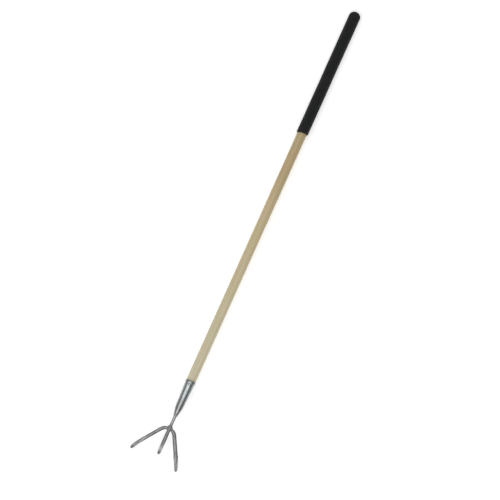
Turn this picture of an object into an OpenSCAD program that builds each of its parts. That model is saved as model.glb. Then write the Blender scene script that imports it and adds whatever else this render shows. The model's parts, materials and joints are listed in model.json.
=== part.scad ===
// Long-handled three-prong hand rake.
//
// A claw of two bent steel rods is welded to the nose of a tapered steel socket, and
// the socket is riveted onto a round wooden handle with a moulded foam grip.
//
// Every sub-part is drawn along +X, from the domed end of the grip at x = 0 to the
// prongs, with the handle's axis on y = z = 0 and the prongs pointing down. Then
// lay_on_floor() sets the tool down the way it lies: on its three prong tips and the
// end of the grip, with the origin on the floor under the middle of its box.

/* [Handle] */
// Diameter of the wooden handle
shaft_d = 24; // [22:0.5:30]
// Length of bare wood between the grip and the socket
bare_wood_l = 671; // [300:1:1200]
// Chamfer on the end of the wood under the grip
shaft_chamfer = 2; // [0.5:0.5:4]

/* [Grip] */
// Length of the foam grip over everything
grip_l = 333; // [120:1:450]
// Outside diameter of the foam grip
grip_d = 29; // [27:0.5:36]
// Height of the grip's domed end
grip_dome_h = 13; // [6:0.5:16]
// Thickness of foam over the end of the wood
grip_end_wall = 10; // [4:0.5:16]
// Rounding of the grip's open end
grip_lip_r = 1.2; // [0.4:0.1:1.4]

/* [Socket] */
// Length of the socket from its mouth to the end of its nose
socket_l = 90; // [80:1:130]
// Length of the conical part that holds the wood
socket_cone_l = 53; // [50:1:70]
// Outside diameter where the cone meets the nose
socket_nose_d = 20.2; // [19:0.2:23]
// Thickness of the socket's sheet steel
socket_wall = 0.9; // [0.8:0.1:1.2]
// Radius of the rolled bead around the mouth
bead_r = 0.8; // [0.6:0.1:1.3]

/* [Rivet] */
// Diameter of the rivet's shank
rivet_d = 3.5; // [2.5:0.5:5]
// Diameter of the rivet's domed heads
rivet_head_d = 7; // [6:0.5:9]
// Height of the domed heads above the socket
rivet_head_h = 1.5; // [1:0.1:2.5]
// Distance of the rivet from the socket's mouth
rivet_at = 9.5; // [7:0.5:25]

/* [Claw] */
// Diameter of the two steel rods
rod_d = 8; // [6:0.5:9]
// Length of rod seen between the socket's nose and the crossing of the two rods
neck_l = 35; // [25:1:80]
// Depth that the centre rod's tang goes into the wood
tang_in_wood_l = 24; // [10:1:35]
// Depth of the prong tips below the handle's axis
claw_depth = 55; // [45:1:70]
// Straight length of the centre prong from the crossing to its bend
centre_run = 17.2; // [15:0.2:60]
// Straight length of a side prong from the yoke's bend to its own bend
side_run = 39.4; // [20:0.2:80]
// Angle of each side prong from the yoke's middle line
side_spread = 32; // [20:1:45]
// Angle that the yoke is turned towards -Y where it is welded
yoke_skew = 4; // [0:0.5:6]
// Radius of the yoke's bend, to the middle of the rod
yoke_bend_r = 22; // [14:0.5:40]
// Radius of each prong's downward bend, to the middle of the rod
prong_bend_r = 35; // [20:1:40]
// Angle that each prong bends down through
prong_bend_a = 70; // [55:1:85]
// Length over which a prong narrows to its tip
point_l = 16; // [8:1:20]
// Diameter of the blunt prong tips
tip_d = 5.6; // [3:0.2:6]

/* [Welds] */
// Radius of the weld around the crossing of the two rods
claw_weld_r = 7.6; // [6:0.2:9]
// Thickness of the weld around the crossing
claw_weld_h = 8.4; // [6:0.2:9]
// Radius of the weld bead where the neck leaves the socket
nose_weld_r = 1.7; // [1.2:0.1:2.2]

/* [Hidden] */
$fn = 96;

clearance = 0.05;  // radial gap between parts that are pushed together
overcut = 1;       // how far a cutting shape runs past what it cuts
bend_swell = 0.05; // extra radius of a bent stretch of rod, as the steel spreads
bend_lap = 0.5;    // how far a straight stretch of rod runs into a bend
nose_steps = 9;    // straight steps along the socket's rounded nose
bore_tip_a = 30;   // angle of the drill point at the end of the tang's bore

shaft_r = shaft_d / 2;
grip_r = grip_d / 2;
rod_r = rod_d / 2;
tip_r = tip_d / 2;

// Places along the handle's axis
socket_x = grip_l + bare_wood_l;
shaft_end_x = socket_x + socket_cone_l;
tang_x = shaft_end_x - tang_in_wood_l;
nose_x = socket_x + socket_l;
crossing_x = nose_x + neck_l;

// The socket's mouth fits the wood, and its nose closes on the rod
mouth_r = shaft_r + clearance + socket_wall;
nose_base_r = socket_nose_d / 2;
nose_end_r = rod_r + clearance + socket_wall;
nose_end_a = acos(nose_end_r / nose_base_r);
nose_reach = (socket_l - socket_cone_l) / sin(nose_end_a);

// The prongs' downward bend, seen from the side
bend_reach = prong_bend_r * sin(prong_bend_a);
bend_drop = prong_bend_r * (1 - cos(prong_bend_a));

// How far forward a prong's tip is from where the prong starts
function prong_reach(run, depth) =
    run + bend_reach + (depth - bend_drop - tip_r) / tan(prong_bend_a);

// The yoke passes under the centre rod, touching it
yoke_drop = rod_d;
yoke_turn = 90 - side_spread;

// Place of a side prong's tip, seen from above; side is -1 or 1
function yoke_point(side, reach) = [
    yoke_bend_r * (1 - cos(yoke_turn)) + reach * cos(side_spread),
    side * (yoke_bend_r * sin(yoke_turn) + reach * sin(side_spread))
];
function skewed(p) = [
    p.x * cos(yoke_skew) + p.y * sin(yoke_skew),
    p.y * cos(yoke_skew) - p.x * sin(yoke_skew)
];
function side_tip(side) =
    [crossing_x, 0] + skewed(yoke_point(side, prong_reach(side_run, claw_depth - yoke_drop)));

// The floor runs from the end of the grip to the centre prong's tip, and the side
// prongs reach down to it too
centre_tip_x = crossing_x + prong_reach(centre_run, claw_depth);
floor_pitch = atan((claw_depth - grip_r) / (centre_tip_x - grip_dome_h));
function floor_depth(x) = grip_r + (x - grip_dome_h) * tan(floor_pitch);

// Middle of the tool's box on the floor, from the point under the grip's dome
side_tips = [side_tip(-1), side_tip(1)];
box_end_x = max(side_tips[0].x, side_tips[1].x) + tip_r - grip_dome_h;
box_end_z = claw_depth - tip_r - grip_r;
mid_x = (box_end_x * cos(floor_pitch) + box_end_z * sin(floor_pitch)
    - grip_dome_h - grip_r * sin(floor_pitch)) / 2;
mid_y = (side_tips[0].y + side_tips[1].y) / 2;

// Sets the tool down on the floor
module lay_on_floor() {
    translate([-mid_x, -mid_y, 0])
        rotate([0, -floor_pitch, 0])
            translate([-grip_dome_h, 0, grip_r])
                children();
}

// Turns a profile of [radius, length] points around the handle's axis, from place x
module turned(x) {
    translate([x, 0, 0])
        rotate([0, 90, 0])
            rotate_extrude()
                children();
}

// A straight stretch of rod from 0 to a length, which laps into the bend at each end
module rod(length) {
    translate([-bend_lap, 0, 0])
        rotate([0, 90, 0])
            cylinder(r = rod_r, h = length + 2 * bend_lap);
}

// A stretch of rod bent around the Z axis, from +X anticlockwise
module bent_rod(bend_r, angle) {
    rotate_extrude(angle = angle)
        translate([bend_r, 0])
            circle(r = rod_r + bend_swell);
}

// The straight end of a prong, which narrows to a blunt round tip
module prong_point(length) {
    turned(0)
        polygon([
            [0, -bend_lap],
            [rod_r, -bend_lap],
            [rod_r, length - point_l],
            [tip_r - bend_swell, length - tip_r],
            [0, length - tip_r]
        ]);
    translate([length - tip_r, 0, 0])
        sphere(r = tip_r);
}

// A prong with its straight run, its downward bend and its point; depth is measured
// from the middle of the rod down to the lowest spot of the tip
module prong(run, depth) {
    point_to_tip = (depth - bend_drop - tip_r) / sin(prong_bend_a) + tip_r;
    rod(run);
    translate([run, 0, 0]) {
        translate([0, 0, -prong_bend_r])
            rotate([-90, -90, 0])
                bent_rod(prong_bend_r, prong_bend_a);
        translate([bend_reach, 0, -bend_drop])
            rotate([0, prong_bend_a, 0])
                prong_point(point_to_tip);
    }
}

// The socket's outside, less a thickness: a long cone with a rounded nose
module socket_profile(less) {
    polygon(concat(
        [[0, 0], [mouth_r - less, 0]],
        [
            for (i = [0 : nose_steps])
                let (a = nose_end_a * i / nose_steps)
                [nose_base_r * cos(a) - less, socket_cone_l + nose_reach * sin(a)]
        ],
        [[0, socket_l]]
    ));
}

// The hole for the rivet, through both walls of the socket and the wood
module rivet_hole() {
    translate([socket_x + rivet_at, 0, 0])
        cylinder(r = rivet_d / 2 + clearance, h = 4 * shaft_r, center = true);
}

// The rivet's two heads, before they are fitted to the socket's surface
module rivet_head_blanks() {
    surface_r = mouth_r - (mouth_r - nose_base_r) * rivet_at / socket_cone_l;
    dome_r = (pow(rivet_head_d / 2, 2) + pow(rivet_head_h, 2)) / (2 * rivet_head_h);
    for (side = [0, 180])
        rotate([side, 0, 0])
            intersection() {
                translate([0, 0, surface_r + rivet_head_h - dome_r])
                    sphere(r = dome_r);
                translate([0, 0, shaft_r - overcut])
                    cylinder(d = rivet_head_d, h = rivet_head_h + 2 * overcut);
            }
}

// The yoke of the two side prongs: one rod bent around the neck
module yoke() {
    translate([yoke_bend_r, 0, 0])
        rotate([0, 0, 180 - yoke_turn])
            bent_rod(yoke_bend_r, 2 * yoke_turn);
    for (i = [0, 1]) {
        side = 2 * i - 1;
        start = yoke_point(side, 0);
        translate([start.x, start.y, 0])
            rotate([0, 0, side * side_spread])
                prong(side_run, floor_depth(side_tips[i].x) - yoke_drop);
    }
}

// Round wooden pole with a tapered end that fills the socket
module handle_shaft() {
    fit_r = nose_base_r - socket_wall - clearance;
    bore_r = rod_r + clearance;
    bore_l = tang_in_wood_l + overcut;
    color("#b9ab8a")
        difference() {
            turned(0)
                polygon([
                    [0, grip_end_wall],
                    [shaft_r - shaft_chamfer, grip_end_wall],
                    [shaft_r, grip_end_wall + shaft_chamfer],
                    [shaft_r, socket_x],
                    [fit_r, shaft_end_x],
                    [0, shaft_end_x]
                ]);
            turned(shaft_end_x - bore_l)
                polygon([
                    [0, -bore_r * tan(bore_tip_a)],
                    [bore_r, 0],
                    [bore_r, bore_l + overcut],
                    [0, bore_l + overcut]
                ]);
            rivet_hole();
        }
}

// Moulded foam sleeve, closed by a dome over the end of the wood
module foam_grip() {
    bore_r = shaft_r + clearance;
    color("#22201f")
        difference() {
            turned(0) {
                intersection() {
                    translate([0, grip_dome_h])
                        scale([grip_r, grip_dome_h])
                            circle(r = 1);
                    square([grip_r, grip_dome_h]);
                }
                translate([0, grip_dome_h])
                    square([grip_r, grip_l - grip_dome_h - grip_lip_r]);
                translate([0, grip_l - 2 * grip_lip_r])
                    square([grip_r - grip_lip_r, 2 * grip_lip_r]);
                translate([grip_r - grip_lip_r, grip_l - grip_lip_r])
                    circle(r = grip_lip_r);
            }
            turned(0)
                translate([0, grip_end_wall])
                    square([bore_r, grip_l]);
        }
}

// Tapered sheet-steel socket with a beaded mouth and a nose that closes on the neck
module socket() {
    color("#a9aeae")
        difference() {
            union() {
                turned(socket_x)
                    socket_profile(0);
                turned(socket_x)
                    translate([mouth_r - bead_r / 2, bead_r])
                        circle(r = bead_r);
            }
            turned(socket_x)
                socket_profile(socket_wall);
            turned(socket_x)
                translate([0, -overcut])
                    square([shaft_r + clearance, 2 * overcut]);
            turned(socket_x)
                square([rod_r + clearance, socket_l + overcut]);
            rivet_hole();
        }
}

// Rivet through the socket and the wood, with a domed head on each side
module socket_rivet() {
    color("#c2c6c6")
        union() {
            difference() {
                translate([socket_x + rivet_at, 0, 0])
                    rivet_head_blanks();
                turned(socket_x)
                    socket_profile(0);
            }
            translate([socket_x + rivet_at, 0, 0])
                cylinder(d = rivet_d, h = 2 * (shaft_r + socket_wall), center = true);
        }
}

// Weld bead around the neck where it leaves the socket
module socket_weld() {
    color("#9a9ea0")
        difference() {
            turned(nose_x)
                translate([nose_end_r - nose_weld_r / 2, 0])
                    circle(r = nose_weld_r);
            turned(socket_x)
                socket_profile(0);
            translate([socket_x, 0, 0])
                rod(2 * socket_l);
        }
}

// One rod from the tang in the wood, through the neck, to the centre prong
module centre_tine() {
    neck_run = crossing_x - tang_x;
    color("#8f9494")
        translate([tang_x, 0, 0])
            prong(neck_run + centre_run, claw_depth);
}

// The two side prongs, one rod that passes under the neck
module side_tines() {
    color("#8f9494")
        translate([crossing_x, 0, -yoke_drop])
            rotate([0, 0, -yoke_skew])
                yoke();
}

// Weld that fills the corners where the two rods cross
module claw_weld() {
    edge_r = claw_weld_h / 2;
    color("#84898a")
        difference() {
            translate([crossing_x, 0, -rod_r])
                rotate_extrude() {
                    translate([0, -claw_weld_h / 2])
                        square([claw_weld_r - edge_r, claw_weld_h]);
                    intersection() {
                        translate([claw_weld_r - edge_r, 0])
                            circle(r = edge_r);
                        translate([0, -claw_weld_h / 2])
                            square([claw_weld_r, claw_weld_h]);
                    }
                }
            translate([nose_x, 0, 0])
                rod(2 * neck_l);
            side_tines();
        }
}

lay_on_floor() handle_shaft();
lay_on_floor() foam_grip();
lay_on_floor() socket();
lay_on_floor() socket_rivet();
lay_on_floor() socket_weld();
lay_on_floor() centre_tine();
lay_on_floor() side_tines();
lay_on_floor() claw_weld();
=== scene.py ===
import json
import math

import bmesh
import bpy
import numpy as np
from mathutils import Matrix, Vector, noise


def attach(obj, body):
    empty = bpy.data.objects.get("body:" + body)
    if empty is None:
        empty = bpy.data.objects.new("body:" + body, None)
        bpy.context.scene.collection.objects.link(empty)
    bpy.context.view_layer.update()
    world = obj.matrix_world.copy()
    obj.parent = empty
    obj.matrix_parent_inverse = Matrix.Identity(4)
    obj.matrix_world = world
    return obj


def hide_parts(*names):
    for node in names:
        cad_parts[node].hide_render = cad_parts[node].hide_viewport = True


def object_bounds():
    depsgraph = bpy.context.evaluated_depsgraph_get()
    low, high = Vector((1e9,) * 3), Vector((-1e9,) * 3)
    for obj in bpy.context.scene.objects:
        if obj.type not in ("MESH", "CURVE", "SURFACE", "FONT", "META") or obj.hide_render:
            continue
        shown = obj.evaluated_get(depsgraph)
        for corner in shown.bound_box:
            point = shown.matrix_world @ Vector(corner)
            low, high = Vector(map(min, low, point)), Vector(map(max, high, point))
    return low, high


# A long-handled three-prong hand rake: wooden pole, black foam grip, tapered zinc-plated
# socket, and a claw of two bent steel rods.
#
# Every piece is shaped in the tool's own axes, in millimetres: +X from the grip's domed end
# to the prongs, +Z away from the prong tips. place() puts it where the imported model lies.

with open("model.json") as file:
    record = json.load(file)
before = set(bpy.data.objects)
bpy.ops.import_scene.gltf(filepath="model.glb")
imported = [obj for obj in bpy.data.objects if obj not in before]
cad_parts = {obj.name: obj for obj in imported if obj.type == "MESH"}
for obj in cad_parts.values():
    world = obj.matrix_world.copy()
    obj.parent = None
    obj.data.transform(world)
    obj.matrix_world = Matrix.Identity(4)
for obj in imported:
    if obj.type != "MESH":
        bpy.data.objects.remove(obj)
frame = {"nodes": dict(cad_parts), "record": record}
cad_low, cad_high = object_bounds()

MM = 0.001
TAU = 2 * math.pi

# ---- The tool's axes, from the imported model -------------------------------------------

grip_mount = next(m for m in frame["record"]["mounts"] if m["name"] == "grip")
along = -Vector(grip_mount["axis"]).normalized()
across = Vector((0, 1, 0))
up = along.cross(across)


def stations(node):
    """Every vertex's place along the tool's axis, in metres from the grip's mount."""
    mesh = frame["nodes"][node].data
    start = Vector(grip_mount["pos_m"])
    return [(v.co - start).dot(along) for v in mesh.vertices]


grip_start = min(stations("foam_grip"))
dome_end = Vector(grip_mount["pos_m"]) + along * grip_start
tool_axes = np.array([along, across, up]).T


def reach(node):
    """Where a CAD node starts and ends along the tool's axis, in mm from the grip's dome."""
    places = stations(node)
    return (min(places) - grip_start) / MM, (max(places) - grip_start) / MM


GRIP_END = reach("foam_grip")[1]
SHAFT_START, SHAFT_END = reach("handle_shaft")
MOUTH, NOSE = reach("socket")
TANG = reach("centre_tine")[0]
RIVET = sum(reach("socket_rivet")) / 2

# ---- Sizes in mm, as in the CAD model -------------------------------------------------

CLEARANCE = 0.05       # between pieces that are glued or pressed together
SHAFT_R = 12.0
SHAFT_CHAMFER = 2.0
GRIP_R = 14.5
DOME_H = 13.0
LIP_R = 1.2            # round on the rim of the grip's open end
ROD_R = 4.0
TIP_R = 2.8            # round end of a prong
WALL = 0.9             # thickness of the socket's sheet
CONE_L = 53.0          # the socket's straight cone, from its mouth on
NOSE_BASE_R = 10.1     # outside of the socket where its nose starts
BEAD_R = 0.8           # rolled bead at the socket's mouth
RIVET_R = 1.75
RIVET_HEAD_R = 3.5
RIVET_HEAD_H = 1.5
NECK_L = 35.0          # from the socket's nose to the crossing of the two rods
CLAW_DEPTH = 55.0      # from the handle's axis down to the centre prong's tip
CENTRE_RUN = 17.2      # straight stretch from the crossing to the centre prong's bend
SIDE_RUN = 39.4        # straight stretch from the yoke's bend to a side prong's bend
SIDE_SPREAD = math.radians(32)
YOKE_SKEW = math.radians(4)
YOKE_BEND_R = 22.0
PRONG_BEND_R = 35.0
PRONG_BEND_A = math.radians(70)
POINT_L = 16.0         # the end of a prong that is drawn down to its tip
NOSE_WELD_R = 1.7
CLAW_WELD_R = 2.7
BORE_SPARE = 1.0       # how much deeper the wood is bored than the tang goes
DRILL_TIP = 2.0        # the cone that the drill leaves at the bore's bottom
HUB_R = 1.0            # the smallest ring round the middle of a flat end

CROSSING = NOSE + NECK_L
GRIP_BORE_R = SHAFT_R + CLEARANCE
TANG_BORE_R = ROD_R + CLEARANCE
MOUTH_R = SHAFT_R + CLEARANCE + WALL
NOSE_END_R = ROD_R + CLEARANCE + WALL
SHAFT_TIP_R = NOSE_BASE_R - WALL - CLEARANCE
BEND_X = PRONG_BEND_R * math.sin(PRONG_BEND_A)
BEND_Z = PRONG_BEND_R * (1 - math.cos(PRONG_BEND_A))

# ---- How fine the meshes are ----------------------------------------------------------

GRIP_SIDES = 120
POLE_SIDES = 96
SOCKET_SIDES = 140
RIVET_SIDES = 48
ROD_SIDES = 56
WELD_SIDES = 28
WELD_STEPS = 240
# The longest stretch along each piece's profile, in mm
GRIP_STEP = 0.85
BORE_STEP = 12
POLE_STEP = 4
SOCKET_STEP = 1.6
LINING_STEP = 6
RIVET_STEP = 2.5
ROD_STEP = 1.6
POINT_STEP = 1.3
CREASE = math.radians(40)   # an edge between faces at more than this angle is sharp
SEED_SHIFT = (17.3, -9.1, 5.7)   # how far apart in the noise two seeds are


# ---- Mesh building --------------------------------------------------------------------

def ease(x):
    """A smooth step from 0 to 1."""
    x = np.clip(x, 0, 1)
    return x * x * (3 - 2 * x)


def near(x, at, width):
    """1 at a place, falling away on both sides to nothing about two widths from it."""
    return np.exp(-(((x - at) / width) ** 2))


def lumps(points, size, seed):
    """Smooth noise from -1 to 1 at each point; size is how large its features are, in mm."""
    offset = Vector([shift * seed for shift in SEED_SHIFT])
    flat = np.asarray(points, float).reshape(-1, 3) / size
    values = [noise.noise(Vector(p) + offset) for p in flat]
    return np.array(values).reshape(np.shape(points)[:-1])


def place(points):
    """Points in the tool's axes, in mm, as points in the row frame, in metres."""
    return np.asarray(points, float) * MM @ tool_axes.T + np.array(dome_end)


def skin(name, rings, flow, ends=None, wear_and_highlight=None, stain_and_shade=None):
    """A closed mesh over rings of points, all in the tool's axes.

    ends are the points that close its two ends; without them the last ring meets the
    first. flow is each point's place on the straightened piece, which the materials read.
    """
    count, size = rings.shape[:2]
    points = rings.reshape(-1, 3)
    flows = flow.reshape(-1, 3)
    rub_and_highlight = np.zeros(count * size) if wear_and_highlight is None else wear_and_highlight.reshape(-1)
    dirt_and_shade = np.zeros(count * size) if stain_and_shade is None else stain_and_shade.reshape(-1)
    index = np.arange(count * size).reshape(count, size)
    if ends is None:
        index = np.vstack([index, index[:1]])
    here, there = index[:-1], index[1:]
    quads = np.stack(
        [here, np.roll(here, -1, 1), np.roll(there, -1, 1), there], -1
    ).reshape(-1, 4)
    faces = quads.tolist()
    if ends is not None:
        for end, ring, order in ((0, index[0], -1), (1, index[-1], 1)):
            tip = len(points)
            points = np.vstack([points, ends[end]])
            edge = flow[0 if end == 0 else -1]
            flows = np.vstack([flows, edge.mean(0)])
            rub_and_highlight = np.append(rub_and_highlight, rub_and_highlight[ring].mean())
            dirt_and_shade = np.append(dirt_and_shade, dirt_and_shade[ring].mean())
            faces += [
                [tip, int(a), int(b)][::order] for a, b in zip(ring, np.roll(ring, -1))
            ]
    mesh = bpy.data.meshes.new(name)
    mesh.from_pydata(place(points).tolist(), [], faces)
    mesh.attributes.new("flow", "FLOAT_VECTOR", "POINT").data.foreach_set(
        "vector", (flows * MM).astype(np.float32).ravel()
    )
    for key, values in (("wear_and_highlight", rub_and_highlight), ("stain_and_shade", dirt_and_shade)):
        mesh.attributes.new(key, "FLOAT", "POINT").data.foreach_set(
            "value", values.astype(np.float32)
        )
    mesh.validate()
    mesh.shade_smooth()
    piece = bpy.data.objects.new(name, mesh)
    bpy.context.scene.collection.objects.link(piece)
    return piece


def facing_out(piece):
    """Turns a closed piece's faces outwards and keeps its sharp edges sharp."""
    work = bmesh.new()
    work.from_mesh(piece.data)
    bmesh.ops.recalc_face_normals(work, faces=work.faces)
    work.to_mesh(piece.data)
    work.free()
    piece.data.set_sharp_from_angle(angle=CREASE)


def finely(profile, step):
    """The same profile with no stretch longer than step."""
    made = [profile[0]]
    for a, b in zip(profile, profile[1:]):
        parts = max(1, math.ceil(math.dist(a, b) / step))
        made += [
            (a[0] + (b[0] - a[0]) * i / parts, a[1] + (b[1] - a[1]) * i / parts)
            for i in range(1, parts + 1)
        ]
    return made


def turned(profile, angles):
    """Rings of points (along, radius) turned round the tool's axis."""
    profile = np.array(profile, float)
    x = profile[:, 0][:, None] + 0 * angles
    r = profile[:, 1][:, None]
    return np.stack([x, r * np.cos(angles), r * np.sin(angles)], -1)


def even(count):
    """That many angles, evenly round a full turn."""
    return np.linspace(0, TAU, count, endpoint=False)


def grown(rings, amount):
    """Rings around the tool's axis, pushed away from it by an amount at each point."""
    radius = np.maximum(np.hypot(rings[..., 1], rings[..., 2]), 1e-6)
    made = rings.copy()
    made[..., 1:] *= (1 + amount / radius)[..., None]
    return made


def arc(centre, radius, start, stop, steps):
    """Points of an arc in a profile, from one angle to another, in degrees."""
    return [
        (centre[0] + radius * math.cos(a), centre[1] + radius * math.sin(a))
        for a in np.radians(np.linspace(start, stop, steps))
    ]


# ---- Materials ------------------------------------------------------------------------

def grey(level):
    return (level, level, level)


class Look:
    """A procedural material, made node by node. It reads where a point is on the
    straightened piece (flow), and its wear and dirt there, which also carry painted
    highlights and painted shade."""

    def __init__(self, name):
        self.material = bpy.data.materials.new(name)
        self.material.use_nodes = True
        self.tree = self.material.node_tree
        self.surface = self.tree.nodes["Principled BSDF"]
        self.flow = self.named("flow", "Vector")
        self.wear_and_highlight = self.named("wear_and_highlight", "Fac")
        self.stain_and_shade = self.named("stain_and_shade", "Fac")

    def join(self, value, socket):
        """Links a socket to another node's output, or sets it to a fixed value."""
        if isinstance(value, bpy.types.NodeSocket):
            self.tree.links.new(value, socket)
        elif hasattr(value, "__len__") and len(value) == 3 and socket.type == "RGBA":
            socket.default_value = (*value, 1)
        else:
            socket.default_value = value

    def node(self, kind, sockets, **settings):
        """A new node, with what goes into its sockets and its own settings."""
        made = self.tree.nodes.new("ShaderNode" + kind)
        for key, value in settings.items():
            setattr(made, key, value)
        for key, value in sockets.items():
            self.join(value, made.inputs[key])
        return made

    def named(self, name, output):
        return self.node("Attribute", {}, attribute_name=name).outputs[output]

    def scaled(self, long, wide, shift=(0, 0, 0)):
        """The flow, in features of that length along the piece and width across it, in m."""
        factor = (1 / long, 1 / wide, 1 / wide)
        sockets = {0: self.flow, 1: factor, 2: shift}
        return self.node("VectorMath", sockets, operation="MULTIPLY_ADD").outputs[0]

    def noise(self, vector, detail=3.0, roughness=0.55):
        sockets = {"Vector": vector, "Scale": 1.0, "Detail": detail, "Roughness": roughness}
        return self.node("TexNoise", sockets).outputs["Fac"]

    def cells(self, vector, output="Distance"):
        return self.node("TexVoronoi", {"Vector": vector, "Scale": 1.0}).outputs[output]

    def spread(self, value, low, high, to_low=0.0, to_high=1.0):
        """value from low to high, as from to_low to to_high, and no further."""
        sockets = {0: value, 1: low, 2: high, 3: to_low, 4: to_high}
        return self.node("MapRange", sockets, clamp=True).outputs[0]

    def calc(self, operation, a, b):
        return self.node("Math", {0: a, 1: b}, operation=operation).outputs[0]

    def mix(self, factor, a, b, mode="MIX"):
        made = self.node("Mix", {0: factor}, data_type="RGBA", blend_type=mode)
        self.join(a, made.inputs[6])
        self.join(b, made.inputs[7])
        return made.outputs[2]

    def ramp(self, value, stops):
        made = self.node("ValToRGB", {0: value})
        elements = made.color_ramp.elements
        while len(elements) < len(stops):
            elements.new(0.5)
        for element, (position, colour) in zip(elements, stops):
            element.position = position
            element.color = (*colour, 1)
        return made.outputs["Color"]

    def tinted(self, colour, tone, where, most):
        """The colour turned towards a tone by a mask from 0 to 1, at most by that share."""
        return self.mix(self.spread(where, 0, 1, 0, most), colour, tone)

    def shaded(self, colour, share, value, stops):
        """The colour multiplied, by that share, with a ramp over a value."""
        return self.mix(share, colour, self.ramp(value, stops), "MULTIPLY")

    def along(self, start, stop):
        """How far along the tool a point is: 0 at start and 1 at stop, both in mm."""
        x = self.node("SeparateXYZ", {0: self.flow}).outputs[0]
        return self.spread(x, start * MM, stop * MM)

    def bump(self, height, depth):
        """Relief of that depth in metres."""
        sockets = {"Height": height, "Distance": depth, "Strength": 1.0}
        return self.node("Bump", sockets).outputs[0]

    def finish(self, colour, roughness, normal, **fixed):
        """Joins the three to the shader, and sets its other, fixed values."""
        self.join(colour, self.surface.inputs["Base Color"])
        self.join(roughness, self.surface.inputs["Roughness"])
        self.join(normal, self.surface.inputs["Normal"])
        for key, value in fixed.items():
            self.surface.inputs[key.replace("_", " ")].default_value = value
        return self.material


# The pole's colour from the grip (0) to the socket (1)
POLE_TONES = [
    (0.0, (0.480, 0.385, 0.205)),
    (0.19, (0.498, 0.388, 0.208)),
    (0.29, (0.566, 0.455, 0.270)),
    (0.55, (0.608, 0.518, 0.332)),
    (1.0, (0.64, 0.605, 0.432)),
]
WOOD_PATCHES = [(0.30, (1.05, 0.97, 0.93)), (0.5, grey(1.0)), (0.70, (0.96, 1.01, 0.88))]
WOOD_STREAKS = [(0.28, (0.86, 0.83, 0.78)), (0.60, (1.05, 1.05, 1.06))]
WOOD_FIBRES = [(0.30, (0.90, 0.88, 0.85)), (0.65, (1.04, 1.04, 1.03))]
EARLY_WOOD = (0.40, 0.29, 0.16)
OPEN_PORE = (0.20, 0.14, 0.08)
# Dirt, and painted shade, on the wood against the socket's mouth and the grip's rim
WOOD_GRIME_AND_SHADE = (0.12, 0.10, 0.08)


def wood_look():
    """Pale straight-grained ash under a thin satin lacquer."""
    look = Look("ash_wood")
    # Growth rings about a heart outside the pole, drawn out along the grain
    rings = look.node(
        "TexWave",
        {
            "Vector": look.scaled(1 / 0.05, 1.0, (0, 0.034, -0.021)),
            "Scale": 120.0,
            "Distortion": 7.0,
            "Detail": 2.0,
            "Detail Scale": 0.3,
        },
        wave_type="RINGS",
        rings_direction="X",
        wave_profile="SAW",
    ).outputs["Fac"]
    early = look.spread(rings, 0.55, 0.98)
    fibre = look.noise(look.scaled(0.05, 0.0005), 4.0, 0.6)
    streak = look.noise(look.scaled(0.45, 0.005, (3, 1, 7)), 3.0, 0.6)
    patch = look.noise(look.scaled(0.09, 0.03, (5, 2, 1)), 2.0, 0.5)
    dash = look.noise(look.scaled(0.007, 0.00032, (1, 9, 4)), 2.0, 0.5)
    in_early = look.spread(early, 0, 1, 0.25, 1)
    pores = look.calc("MULTIPLY", look.spread(dash, 0.58, 0.70), in_early)

    colour = look.ramp(look.along(GRIP_END, MOUTH), POLE_TONES)
    colour = look.shaded(colour, 0.8, patch, WOOD_PATCHES)
    colour = look.shaded(colour, 0.75, streak, WOOD_STREAKS)
    colour = look.tinted(colour, EARLY_WOOD, early, 0.30)
    colour = look.shaded(colour, 0.7, fibre, WOOD_FIBRES)
    colour = look.tinted(colour, OPEN_PORE, pores, 0.55)
    # Darker with dirt, and with painted shade against the socket's mouth and the grip's rim
    colour = look.tinted(colour, WOOD_GRIME_AND_SHADE, look.stain_and_shade, 0.8)

    rough = look.spread(streak, 0.3, 0.7, 0.42, 0.56)
    rough = look.calc("ADD", rough, look.spread(pores, 0, 1, 0, 0.2))
    grain = look.calc("SUBTRACT", look.spread(fibre, 0, 1, 0, 0.35), pores)
    normal = look.bump(grain, 0.00012)
    return look.finish(colour, rough, normal, Coat_Weight=0.18, Coat_Roughness=0.32)


FOAM_MOTTLE = [(0.3, (0.0055, 0.0066, 0.0063)), (0.7, (0.0118, 0.0131, 0.0123))]
FOAM_CELL = (0.004, 0.0046, 0.0045)
FOAM_DUST = (0.050, 0.050, 0.047)


def foam_look():
    """Black closed-cell foam: fine pebbled skin, a little dusty where it is rubbed."""
    look = Look("black_foam")
    cell = look.cells(look.scaled(0.0009, 0.0009))
    pit = look.cells(look.scaled(0.0021, 0.0021, (4, 4, 1)))
    mottle = look.noise(look.scaled(0.006, 0.006, (2, 7, 3)), 4.0, 0.6)
    cloud = look.noise(look.scaled(0.05, 0.03, (8, 1, 5)), 2.0, 0.5)
    colour = look.ramp(mottle, FOAM_MOTTLE)
    colour = look.mix(look.spread(cell, 0.1, 0.6, 0, 0.35), colour, FOAM_CELL)
    dusty = look.spread(cloud, 0.4, 0.7)
    dust = look.calc("MULTIPLY", look.spread(mottle, 0.45, 0.75), dusty)
    rub = look.calc("MULTIPLY", look.wear_and_highlight, look.spread(mottle, 0.35, 0.65))
    light = look.calc("MAXIMUM", look.spread(dust, 0, 1, 0, 0.5), rub)
    colour = look.tinted(colour, FOAM_DUST, light, 0.5)
    rough = look.spread(cloud, 0.3, 0.7, 0.66, 0.84)
    hollow = look.spread(pit, 0, 0.8, 0.4, 0)
    height = look.calc("ADD", look.spread(cell, 0, 0.8, 0, 0.6), hollow)
    normal = look.bump(height, 0.00032)
    return look.finish(
        colour, rough, normal, Specular_IOR_Level=0.26, Sheen_Weight=0.04, Sheen_Roughness=0.5
    )


METAL_SPANGLE = [(0.0, grey(0.93)), (1.0, grey(1.05))]
METAL_LINES = [(0.3, grey(0.88)), (0.7, grey(1.08))]
METAL_PIT = grey(0.10)
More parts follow.
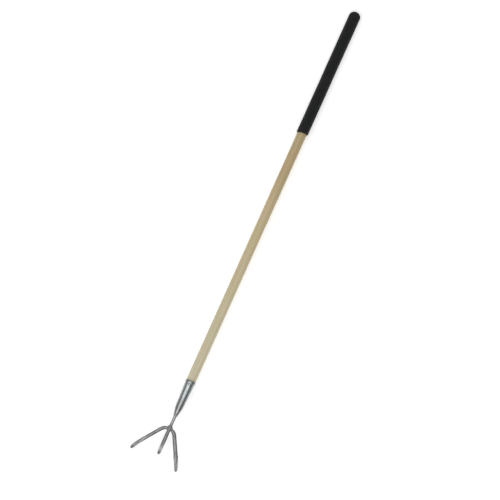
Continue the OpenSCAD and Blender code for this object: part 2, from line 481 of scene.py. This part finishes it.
# Rubbed bright metal, and painted highlights on the neck and on the prongs' bends
METAL_WEAR_AND_HIGHLIGHT = (0.60, 0.61, 0.62)
# Scale and dirt, and painted shade behind the socket's bead and above the right prong's point
METAL_SCALE_AND_SHADE = (0.055, 0.052, 0.05)
DULLED = 0.59          # how light a dulled metal is, as a share of its own colour


def metal_look(name, light, dark, shine, brushing, dulling=None):
    """Plated or drawn steel: light and dark are its colours, shine its mean roughness, and
    brushing how strongly the lines along it show. Between the two places of dulling, in mm
    along the tool, it can turn to a plain, duller grey."""
    look = Look(name)
    lines = look.noise(look.scaled(0.035, 0.00035), 4.0, 0.65)
    drag = look.noise(look.scaled(0.012, 0.0009, (6, 3, 8)), 3.0, 0.6)
    film = look.noise(look.scaled(0.014, 0.010, (2, 5, 9)), 3.0, 0.55)
    spot = look.noise(look.scaled(0.0016, 0.0012, (7, 1, 2)), 2.0, 0.5)
    grain = look.cells(look.scaled(0.005, 0.004, (1, 1, 3)), "Color")
    pits = look.spread(spot, 0.66, 0.74)
    bright = look.calc("MULTIPLY", look.wear_and_highlight, look.spread(drag, 0.3, 0.6, 0.3, 1))

    colour = look.mix(look.spread(film, 0.35, 0.65), light, dark)
    if dulling is not None:
        colour = look.mix(look.along(*dulling), colour, grey(DULLED * sum(light) / 3))
    colour = look.shaded(colour, 0.6, grain, METAL_SPANGLE)
    colour = look.shaded(colour, brushing, lines, METAL_LINES)
    colour = look.tinted(colour, METAL_PIT, pits, 0.45)
    # Rubbed bright metal, and painted highlights on the neck and on the prongs' bends
    colour = look.tinted(colour, METAL_WEAR_AND_HIGHLIGHT, bright, 0.7)
    # Scale and dirt, and painted shade behind the socket's bead and above the right prong's
    # point
    colour = look.tinted(colour, METAL_SCALE_AND_SHADE, look.stain_and_shade, 0.85)

    rough = look.spread(film, 0.3, 0.7, shine - 0.06, shine + 0.07)
    rough = look.calc("ADD", rough, look.spread(drag, 0.3, 0.7, -0.04, 0.05))
    rough = look.calc("ADD", rough, look.spread(look.stain_and_shade, 0, 1, 0, 0.25))
    hollow = look.spread(pits, 0, 1, 0.2, 0)
    relief = look.calc("ADD", look.spread(lines, 0, 1, 0, brushing), hollow)
    normal = look.bump(relief, 0.00004)
    return look.finish(colour, rough, normal, Metallic=1.0)


WOOD = wood_look()
FOAM = foam_look()
ZINC = metal_look("zinc_sheet", (0.40, 0.435, 0.44), (0.31, 0.335, 0.34), 0.30, 0.6,
                  dulling=(MOUTH + 24, MOUTH + 74))
RIVET_STEEL = metal_look("bright_rivet", (0.55, 0.57, 0.57), (0.42, 0.43, 0.43), 0.26, 0.3)
ROD_STEEL = metal_look("drawn_steel", (0.31, 0.315, 0.315), (0.22, 0.225, 0.225), 0.40, 0.8)
WELD_STEEL = metal_look("weld_metal", (0.43, 0.43, 0.435), (0.31, 0.31, 0.315), 0.42, 0.2)


def dress(piece, material, node):
    """Gives a piece its material, and the CAD node that it stands for."""
    facing_out(piece)
    piece.data.materials.append(material)
    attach(piece, "root")
    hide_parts(node)
    frame["nodes"][node].data.materials.clear()
    frame["nodes"][node].data.materials.append(material)


# ---- Foam grip ------------------------------------------------------------------------

def foam_grip():
    """A moulded sleeve with a soft dome, a rim cut a little askew, and pebbled skin."""
    dome = [
        (DOME_H - DOME_H * math.cos(a), GRIP_R * math.sin(a))
        for a in np.radians(np.linspace(3, 90, 30))
    ]
    lip = arc((GRIP_END - LIP_R, GRIP_R - LIP_R), LIP_R, 90, 0, 7)
    bore = [(GRIP_END, GRIP_BORE_R), (SHAFT_START, GRIP_BORE_R), (SHAFT_START, HUB_R)]
    outside = finely(dome + lip, GRIP_STEP)
    around = even(GRIP_SIDES)
    rings = turned(outside + finely(bore, BORE_STEP)[1:], around)
    x = rings[..., 0]
    outer = rings[: len(outside)]
    # Fine pebbles and broad swellings of the skin, mostly inside the nominal size
    pebble = 0.11 * lumps(outer, size=2.1, seed=1)
    swell = 0.12 * lumps(outer * [0.25, 1, 1], size=16, seed=2)
    skin_depth = np.zeros(rings.shape[:2])
    skin_depth[: len(outside)] = pebble + swell - 0.06
    shaped = grown(rings, skin_depth)
    # The open end was cut with a knife, so it leans a little
    cut = ease((x - GRIP_END + 14) / 14)
    shaped[..., 0] += cut * (0.25 * np.sin(3 * around) - 0.085 * rings[..., 1])
    # Hands and walls rub the dome and the rim
    dome_wear = 0.75 * (1 - ease((x - 1) / 13))
    rim_wear = 0.6 * ease((x - GRIP_END + 6) / 6)
    ends = [[0, 0, 0], [SHAFT_START, 0, 0]]
    piece = skin("foam_sleeve", shaped, rings, ends, wear_and_highlight=dome_wear + rim_wear)
    dress(piece, FOAM, "foam_grip")


# ---- Wooden pole ----------------------------------------------------------------------

def wooden_pole():
    """A turned pole whose lower end tapers inside the socket and is bored for the tang."""
    bored_to = TANG - BORE_SPARE
    profile = [
        (SHAFT_START, HUB_R),
        (SHAFT_START, SHAFT_R - SHAFT_CHAMFER),
        (SHAFT_START + SHAFT_CHAMFER, SHAFT_R),
        (MOUTH, SHAFT_R),
        (SHAFT_END, SHAFT_TIP_R),
        (SHAFT_END, TANG_BORE_R),
        (bored_to, TANG_BORE_R),
        (bored_to - DRILL_TIP, HUB_R / 2),
    ]
    rings = turned(finely(profile, POLE_STEP), even(POLE_SIDES))
    x = rings[..., 0]
    # Only the outside that shows is turned a little unevenly
    outside = ease((np.hypot(rings[..., 1], rings[..., 2]) - SHAFT_R + 1) / 0.8)
    seen = ease((x - GRIP_END + 8) / 6) * ease((MOUTH - 0.5 - x) / 6)
    wave = 0.10 * lumps(rings * [0.02, 1, 1], size=7, seed=3)
    shaped = grown(rings, outside * seen * (wave - 0.06))
    # Dirt and painted shade darken the wood against the socket's mouth and the grip's rim
    grime_and_shade = near(x, MOUTH, 3.0) + 0.6 * near(x, GRIP_END, 2.5)
    ends = [[SHAFT_START, 0, 0], [bored_to - DRILL_TIP - 0.3, 0, 0]]
    piece = skin("ash_pole", shaped, rings, ends, stain_and_shade=grime_and_shade)
    dress(piece, WOOD, "handle_shaft")


# ---- Socket ---------------------------------------------------------------------------

SEAM_A = 1.5 * math.pi - 0.6    # on the underside, beside the rivet's lower head
# Distances from the seam, in mm, at which the sheet has extra edges to shape it
SEAM_EDGES = np.array([0.12, 0.25, 0.4, 0.6, 0.9, 1.4])


def sheet_socket():
    """Rolled sheet steel: a bead at the mouth, a long cone, a nose closed on the rod, and
    the sheet's butt seam along the underside."""
    near_seam = SEAM_EDGES / SHAFT_R
    angles = [even(SOCKET_SIDES), [SEAM_A], SEAM_A + near_seam, SEAM_A - near_seam]
    angles = np.unique(np.round(np.mod(np.concatenate(angles), TAU), 5))
    end_a = math.acos(NOSE_END_R / NOSE_BASE_R)
    nose_reach = (NOSE - MOUTH - CONE_L) / math.sin(end_a)
    nose_arc = [
        (CONE_L + nose_reach * math.sin(a), NOSE_BASE_R * math.cos(a))
        for a in np.linspace(0, end_a, 16)
    ]
    mouth_bead = arc((BEAD_R, MOUTH_R - BEAD_R / 2), BEAD_R, 218, 25, 15)
    outside = finely(mouth_bead + nose_arc, SOCKET_STEP)
    inside = [(x, max(r - WALL, TANG_BORE_R)) for x, r in reversed(nose_arc)]
    profile = outside + finely(inside + [mouth_bead[0]], LINING_STEP)[:-1]
    rings = turned([(x + MOUTH, r) for x, r in profile], angles)
    x = rings[..., 0]
    outer = np.zeros(rings.shape[:2])
    outer[: len(outside)] = 1

    # The seam's groove, and the shallow dents of a rolled sheet
    from_seam = np.abs(np.mod(angles - SEAM_A + math.pi, TAU) - math.pi) * SHAFT_R
    seam_fade = ease((NOSE - 3 - x) / 8)
    groove = 0.38 * near(from_seam, 0, 0.32) + 0.10 * near(from_seam, 0, 1.6)
    dents = 0.11 * lumps(rings * [0.8, 1, 1], size=11, seed=4)
    dents = dents + 0.035 * lumps(rings, size=4.5, seed=5)
    shaped = grown(rings, outer * (dents - seam_fade * groove - 0.03))

    # Dirt and painted shade behind the bead, a little darker at the nose under the weld, and
    # dirt in the seam; rubbed bead and nose
    shade_behind_bead = 0.85 * near(x, MOUTH + 2 * BEAD_R + 0.3, 1.1)
    under_weld = 0.1 * near(x, NOSE, 3.0)
    in_seam = 0.7 * seam_fade * near(from_seam, 0, 0.3)
    grime_and_shade = np.clip(outer * (shade_behind_bead + under_weld + in_seam), 0, 1)
    bright_lip = 0.15 * near(x, MOUTH + BEAD_R, 0.9)
    rubbed_nose = 0.50 * near(x, NOSE - 7, 7)
    rub_and_highlight = outer * (bright_lip + rubbed_nose)
    piece = skin("socket_sheet", shaped, rings, wear_and_highlight=rub_and_highlight, stain_and_shade=grime_and_shade)
    dress(piece, ZINC, "socket")


def rivet():
    """A solid rivet across the socket, its two domed heads marked by the hammer."""
    taper = (MOUTH_R - NOSE_BASE_R) / CONE_L
    surface = MOUTH_R - taper * (RIVET - MOUTH)
    foot = surface - WALL
    dome_r = (RIVET_HEAD_R**2 + RIVET_HEAD_H**2) / (2 * RIVET_HEAD_H)
    top = surface + RIVET_HEAD_H
    half = math.asin(RIVET_HEAD_R / dome_r)
    dome = [
        (top - dome_r + dome_r * math.cos(a), dome_r * math.sin(a))
        for a in np.linspace(math.radians(3), half, 14)
    ]
    upper = dome + [(foot, RIVET_HEAD_R), (foot, RIVET_R)]
    profile = upper + [(-z, r) for z, r in reversed(upper)]
    flow = turned(finely(profile, RIVET_STEP), even(RIVET_SIDES))
    hammered = flow * (1 + 0.004 * lumps(flow, size=1.7, seed=6))[..., None]
    shaped = hammered[..., [1, 2, 0]] + [RIVET, 0, 0]
    ends = [[RIVET, 0, top], [RIVET, 0, -top]]
    at_foot = near(np.abs(flow[..., 0]), surface - 0.1, 0.35)
    rub_and_highlight = 0.5 * (1 - at_foot)
    piece = skin("rivet_domed", shaped, flow, ends, wear_and_highlight=rub_and_highlight, stain_and_shade=0.8 * at_foot)
    dress(piece, RIVET_STEEL, "socket_rivet")


# ---- Claw -----------------------------------------------------------------------------

# How each prong's bar departs from plain round rod: it is flattened from its root on by a
# share heft of the rod's radius, widened by a share swell more in its bend, and both fade
# out over the last fade millimetres
CENTRE_BAR = {"heft": 0.10, "swell": 0.08, "fade": 36}
LEFT_BAR = {"heft": 0.13, "swell": 0.09, "fade": 40}
RIGHT_BAR = {"heft": 0.26, "swell": 0.22, "fade": 66}
FLATTENING_L = 14      # over how much length the flattening sets in after the root
SWELLING_SHARE = 0.3   # the share of the bend in which the swelling sets in
THINNING = 0.4         # height lost by the bar, as a share of what it gains in width
POINT_FULLNESS = 1.7   # 1 draws a prong down to a cone, and more keeps it fuller
TANG_CHAMFER = 0.6
WELD_DARKNESS = 0.20      # how dark the rods are where they are welded together
POINT_DARKNESS = 0.68     # how dark a prong's point is
CENTRE_SCALE = 0.15    # how dark the scale is on the upper part of the centre prong


def rod(name, spine, wide, tall, ends, rub_and_highlight, dirt_and_shade):
    """A bar with an oval cross-section along a spine of points, kept level across. wide and
    tall are its half width and half height at each point."""
    forward = np.gradient(spine, axis=0)
    forward /= np.linalg.norm(forward, axis=1)[:, None]
    side = np.cross([0, 0, 1], forward)
    side /= np.linalg.norm(side, axis=1)[:, None]
    over = np.cross(forward, side)
    turn = even(ROD_SIDES)
    across_by = np.cos(turn) * wide[:, None]
    over_by = np.sin(turn) * tall[:, None]
    out = side[:, None] * across_by[..., None] + over[:, None] * over_by[..., None]
    steps = np.linalg.norm(np.diff(spine, axis=0), axis=1)
    run = np.concatenate([[0], np.cumsum(steps)])[:, None] + 0 * turn
    flow = np.stack([run, across_by, over_by], -1)
    mill = 0.035 * lumps(flow * [0.3, 1, 1], size=2.4, seed=7)
    mill = mill + 0.05 * lumps(flow * [0.6, 1, 1], size=9, seed=8)
    rings = spine[:, None] + out + out / ROD_R * mill[..., None]
    level = np.ones(ROD_SIDES)
    return skin(name, rings, flow, ends, rub_and_highlight[:, None] * level, dirt_and_shade[:, None] * level)


def prong_line(run, depth):
    """A prong seen from the side, from its start to the middle of its round tip: forward
    and down, with how far each point is through the bend (0 to 1)."""
    slope = np.array([math.cos(PRONG_BEND_A), -math.sin(PRONG_BEND_A)])
    fall = (depth - BEND_Z - TIP_R) / math.sin(PRONG_BEND_A)
    points = [(x, 0, 0) for x in np.arange(0, run, ROD_STEP)]
    points += [
        (run + PRONG_BEND_R * math.sin(a), PRONG_BEND_R * (math.cos(a) - 1), a / PRONG_BEND_A)
        for a in np.linspace(0, PRONG_BEND_A, 26)
    ]
    points += [
        (run + BEND_X + slope[0] * d, -BEND_Z + slope[1] * d, 1)
        for d in np.linspace(0, fall, max(4, int(fall / POINT_STEP)))[1:]
    ]
    return points


def pointed(line, root, heft, swell, fade):
    """Half widths and half heights of a prong's bar, drawn down to its tip, and how much of
    the line is left at each point. root is how far along the line the prong starts."""
    line = np.asarray(line, float)
    steps = np.linalg.norm(np.diff(line[:, :-1], axis=0), axis=1)
    left = np.concatenate([np.cumsum(steps[::-1])[::-1], [0]])
    through = line[:, -1]
    body = 1 - (1 - np.clip(left / (POINT_L - TIP_R), 0, 1)) ** POINT_FULLNESS
    flattened = heft * ease((left[0] - left - root) / FLATTENING_L)
    swollen = swell * ease(through / SWELLING_SHARE)
    extra = (flattened + swollen) * ease(left / fade)
    round_r = TIP_R + (ROD_R - TIP_R) * body
    return round_r + ROD_R * extra, round_r - THINNING * ROD_R * extra, left


def round_tip(spine, wide, tall, left):
    """Adds the round end, as rings that close in on its outermost point, and gives that
    point as well."""
    ahead = spine[-1] - spine[-2]
    ahead /= np.linalg.norm(ahead)
    tip = spine[-1] + TIP_R * ahead
    close = np.radians(np.linspace(14, 80, 7))
    spine = np.vstack([spine, spine[-1] + TIP_R * np.sin(close)[:, None] * ahead])
    wide = np.append(wide, wide[-1] * np.cos(close))
    tall = np.append(tall, tall[-1] * np.cos(close))
    left = np.append(left, -TIP_R * np.sin(close))
    return spine, wide, tall, left, tip


def bend_highlight(left, at):
    """A painted highlight on a prong's bend, in rubbed bright metal, most of all on the lower
    half of the bend.
    """
    return 0.8 * near(left, at, 11)


def darkened(left, point, scale_and_shade):
    """The drawn-out point of a prong is made darker, and a thin scale is left on its upper
    part, which also carries painted shade where that is asked for."""
    at_point = 1 - ease((left - 13) / 15)
    return point * at_point + scale_and_shade * ease((left - 48) / 10)


def centre_prong():
    """The rod that runs from its tang in the wood to the centre prong."""
    line = prong_line(CROSSING - TANG + CENTRE_RUN, CLAW_DEPTH)
    wide, tall, left = pointed(line, CROSSING + ROD_R - TANG, **CENTRE_BAR)
    spine = np.array([[TANG + x, 0, z] for x, z, _ in line])
    wide[0] = tall[0] = ROD_R - TANG_CHAMFER
    spine, wide, tall, left, tip = round_tip(spine, wide, tall, left)
    x = spine[:, 0]
    # The neck gets a painted highlight, in rubbed bright metal, up to where it is darker
    # round the weld
    neck = ease((x - NOSE) / 5) * ease((CROSSING - 6 - x) / 8)
    rub_and_highlight = bend_highlight(left, 34) + 0.55 * neck
    dirt_and_shade = WELD_DARKNESS * near(x, CROSSING, 9)
    dirt_and_shade = dirt_and_shade + darkened(left, POINT_DARKNESS, CENTRE_SCALE) * ease((x - CROSSING) / 10)
    piece = rod("centre_rod", spine, wide, tall, [[TANG, 0, 0], tip], rub_and_highlight, dirt_and_shade)
    dress(piece, ROD_STEEL, "centre_tine")


def floor_depth(x):
    """How far below the handle's axis the floor is, at a place along the tool."""
    height = place([[x, 0, 0]])[0][2] - cad_low.z
    return height / up.z / MM


def yoke_half(side, bar):
    """One side of the yoke, from the crossing to the tip of its prong."""
    turn = math.pi / 2 - SIDE_SPREAD
    root = YOKE_BEND_R * np.array([1 - math.cos(turn), side * math.sin(turn)])
    heading = np.array([math.cos(SIDE_SPREAD), side * math.sin(SIDE_SPREAD)])
    skew = np.array([math.cos(YOKE_SKEW), math.sin(YOKE_SKEW)])
    # The prong is as deep as the floor is under its own tip
    tip_reach = SIDE_RUN + BEND_X
    tip_reach += (CLAW_DEPTH - 2 * ROD_R - BEND_Z - TIP_R) / math.tan(PRONG_BEND_A)
    tip_x = (root + heading * tip_reach) @ skew
    depth = floor_depth(CROSSING + tip_x) - 2 * ROD_R
    line = [
        (YOKE_BEND_R * (1 - math.cos(a)), side * YOKE_BEND_R * math.sin(a), 0, 0)
        for a in np.linspace(0, turn, 24)[:-1]
    ]
    line += [
        (*(root + heading * x), z, through) for x, z, through in prong_line(SIDE_RUN, depth)
    ]
    wide, tall, left = pointed(line, ROD_R, **bar)
    x, y, z, _ = np.array(line).T
    spine = np.stack(
        [CROSSING + x * skew[0] + y * skew[1], y * skew[0] - x * skew[1], z - 2 * ROD_R], -1
    )
    return round_tip(spine, wide, tall, left)


def yoke():
    """The rod that is bent round the neck to make the two side prongs."""
    *left_half, left_tip = yoke_half(-1, LEFT_BAR)
    *right_half, right_tip = yoke_half(1, RIGHT_BAR)
    spine, wide, tall, left = [
        np.concatenate([a[::-1], b[1:]]) for a, b in zip(left_half, right_half)
    ]
    from_weld = np.linalg.norm(spine - [CROSSING, 0, -2 * ROD_R], axis=1)
    # The right prong has a lighter point than the left one, and painted shade above its
    # point, as more of its shaded side shows
    to_right = ease(spine[:, 1] / ROD_R)
    dirt_and_shade = WELD_DARKNESS * near(from_weld, 0, 10)
    dirt_and_shade = dirt_and_shade + darkened(left, POINT_DARKNESS - 0.36 * to_right, 0.04 + 0.10 * to_right)
    ends = [left_tip, right_tip]
    piece = rod("yoke_rod", spine, wide, tall, ends, bend_highlight(left, 45), dirt_and_shade)
    dress(piece, ROD_STEEL, "side_tines")


def bead(name, ring, minor, ripples):
    """A weld bead of radius minor, laid in a closed ring. At each angle round it, ring gives
    the middle of the bead, the direction away from the ring's axis, that axis, and how full
    the bead is."""
    turns = even(WELD_STEPS)
    around = even(WELD_SIDES)
    middle, out, axis, fullness = ring(turns)
    # Each ripple is a puddle that froze: a steep front, a long back, and a curved edge
    pace = ripples * turns + 0.9 * np.sin(2 * turns + 1) + 0.5 * np.sin(5 * turns)
    phase = pace[:, None] + 0.9 * np.cos(around)
    step = 0.030 * np.sin(phase) + 0.012 * np.sin(2 * phase + 0.6)
    step = step + (0.06 * np.sin(3 * turns + 2) + 0.04 * np.sin(7 * turns))[:, None]
    radius = minor * (fullness[:, None] + step)[..., None]
    turn = around[:, None]
    outwards = out[:, None] * np.cos(turn) + axis[:, None] * np.sin(turn)
    rings = middle[:, None] + radius * outwards
    flow = np.stack(
        np.broadcast_arrays(
            turns[:, None] * 3 * minor, minor * np.cos(around), minor * np.sin(around)
        ),
        -1,
    )
    swell = 0.20 * lumps(rings, size=2.2, seed=9) + 0.07 * lumps(rings, size=0.7, seed=10)
    rings = rings + swell[..., None] * (rings - middle[:, None]) / minor
    return skin(name, rings, flow, stain_and_shade=np.clip(0.10 - 2.5 * step, 0, 0.3))


def nose_weld():
    """The small bead round the neck, where it comes out of the socket's nose."""
    def ring(turns):
        out = np.stack([0 * turns, np.cos(turns), np.sin(turns)], -1)
        middle = out * (NOSE_END_R - NOSE_WELD_R / 2) + [NOSE, 0, 0]
        return middle, out, np.tile([1.0, 0, 0], (len(turns), 1)), 1 + 0 * turns

    piece = bead("nose_weld_bead", ring, NOSE_WELD_R, 22)
    dress(piece, WELD_STEEL, "socket_weld")


def claw_weld():
    """The bead that runs round the touching spot of the two crossed rods. It sinks beside
    the yoke, climbs beside the centre rod, and is fullest in the four corners between."""
    def ring(turns):
        out = np.stack([np.cos(turns), np.sin(turns), 0 * turns], -1)
        corner = (1 - np.cos(4 * turns)) / 2
        middle = out * (4.1 + 1.1 * corner)[:, None]
        middle[:, 2] = -ROD_R - 1.5 * np.cos(2 * turns)
        axis = np.tile([0, 0, 1.0], (len(turns), 1))
        return middle + [CROSSING, 0, 0], out, axis, 0.90 + 0.22 * corner

    piece = bead("claw_weld_bead", ring, CLAW_WELD_R, 24)
    dress(piece, WELD_STEEL, "claw_weld")


foam_grip()
wooden_pole()
sheet_socket()
rivet()
nose_weld()
centre_prong()
yoke()
claw_weld()

# ---- Floor, light and camera ----------------------------------------------------------

FLOOR_R = 30.0
FLOOR_GAP = 0.1 * MM
FLOOR_TONES = (0.90, 0.93)
FLOOR_GLOW = 0.40
# The surroundings' light level by height, from the horizon (0) to straight up (1)
SKY = [(0.0, 0.80), (0.05, 0.72), (0.16, 0.22), (0.60, 0.20), (0.78, 0.36), (1.0, 0.45)]
# Name, place, size and power of each lamp: one overhead, a little to the left of the
# view, and a weaker one in front of the prongs
LAMPS = [
    ("overhead_softbox", (0.3, -0.5, 3.2), 3.6, 66.0),
    ("front_softbox", (3.4, 0.1, 2.2), 2.6, 25.0),
]
VIEW_LEAN = math.radians(7)     # how far the view leans from straight down, to the prongs
VIEW_ROLL = math.radians(24.2)  # the handle's slope away from the picture's upright
VIEW_TARGET = Vector((0.0410, 0.0059, 0.0361))
VIEW_DISTANCE = 12.2
LENS = 360.0


def floor():
    """A plain pale studio floor, just under the tool."""
    mesh = bpy.data.meshes.new("studio_floor")
    work = bmesh.new()
    bmesh.ops.create_circle(work, cap_ends=True, radius=FLOOR_R, segments=96)
    work.to_mesh(mesh)
    work.free()
    made = bpy.data.objects.new("studio_floor", mesh)
    made.location = (0, 0, cad_low.z - FLOOR_GAP)
    bpy.context.scene.collection.objects.link(made)
    look = bpy.data.materials.new("pale_floor")
    look.use_nodes = True
    tree = look.node_tree
    surface = tree.nodes["Principled BSDF"]
    spot = tree.nodes.new("ShaderNodeTexCoord")
    speck = tree.nodes.new("ShaderNodeTexNoise")
    speck.inputs["Scale"].default_value = 40
    tone = tree.nodes.new("ShaderNodeValToRGB")
    for element, level in zip(tone.color_ramp.elements, FLOOR_TONES):
        element.color = (*grey(level), 1)
    tree.links.new(spot.outputs["Object"], speck.inputs["Vector"])
    tree.links.new(speck.outputs["Fac"], tone.inputs[0])
    tree.links.new(tone.outputs["Color"], surface.inputs["Base Color"])
    surface.inputs["Roughness"].default_value = 0.9
    surface.inputs["Specular IOR Level"].default_value = 0.1
    surface.inputs["Emission Color"].default_value = (1, 1, 1, 1)
    surface.inputs["Emission Strength"].default_value = FLOOR_GLOW
    mesh.materials.append(look)


def sky():
    """Plain studio surroundings: pale at the floor's edge, dimmer walls, a light ceiling."""
    world = bpy.data.worlds.new("studio")
    bpy.context.scene.world = world
    world.use_nodes = True
    tree = world.node_tree
    backdrop = tree.nodes["Background"]
    way = tree.nodes.new("ShaderNodeTexCoord")
    parts = tree.nodes.new("ShaderNodeSeparateXYZ")
    ramp = tree.nodes.new("ShaderNodeValToRGB")
    elements = ramp.color_ramp.elements
    while len(elements) < len(SKY):
        elements.new(0.5)
    for element, (height, level) in zip(elements, SKY):
        element.position = height
        element.color = (*grey(level), 1)
    tree.links.new(way.outputs["Generated"], parts.inputs[0])
    tree.links.new(parts.outputs["Z"], ramp.inputs[0])
    tree.links.new(ramp.outputs["Color"], backdrop.inputs["Color"])


def softbox(name, spot, size, power):
    """A square soft lamp at a spot, turned towards the tool."""
    lamp = bpy.data.lights.new(name, "AREA")
    lamp.shape = "SQUARE"
    lamp.size = size
    lamp.energy = power
    made = bpy.data.objects.new(name, lamp)
    bpy.context.scene.collection.objects.link(made)
    made.location = spot
    made.rotation_mode = "QUATERNION"
    made.rotation_quaternion = (-Vector(spot)).to_track_quat("-Z", "Y")
    made.visible_camera = False


def camera():
    """A long lens that looks nearly straight down on the tool, which slopes down to the
    left with its prongs at the bottom."""
    back = Vector((math.sin(VIEW_LEAN), 0, math.cos(VIEW_LEAN)))
    ahead = Vector((math.cos(VIEW_LEAN), 0, -math.sin(VIEW_LEAN)))
    level = Vector((0, 1, 0))
    right = -math.sin(VIEW_ROLL) * ahead + math.cos(VIEW_ROLL) * level
    upward = -math.cos(VIEW_ROLL) * ahead - math.sin(VIEW_ROLL) * level
    lens = bpy.data.cameras.new("camera")
    lens.lens = LENS
    lens.clip_end = 100
    made = bpy.data.objects.new("camera", lens)
    bpy.context.scene.collection.objects.link(made)
    turn = Matrix((right, upward, back)).transposed().to_4x4()
    made.matrix_world = Matrix.Translation(VIEW_TARGET + back * VIEW_DISTANCE) @ turn
    bpy.context.scene.camera = made


floor()
sky()
for lamp in LAMPS:
    softbox(*lamp)
camera()
bpy.context.scene.view_settings.view_transform = "Standard"
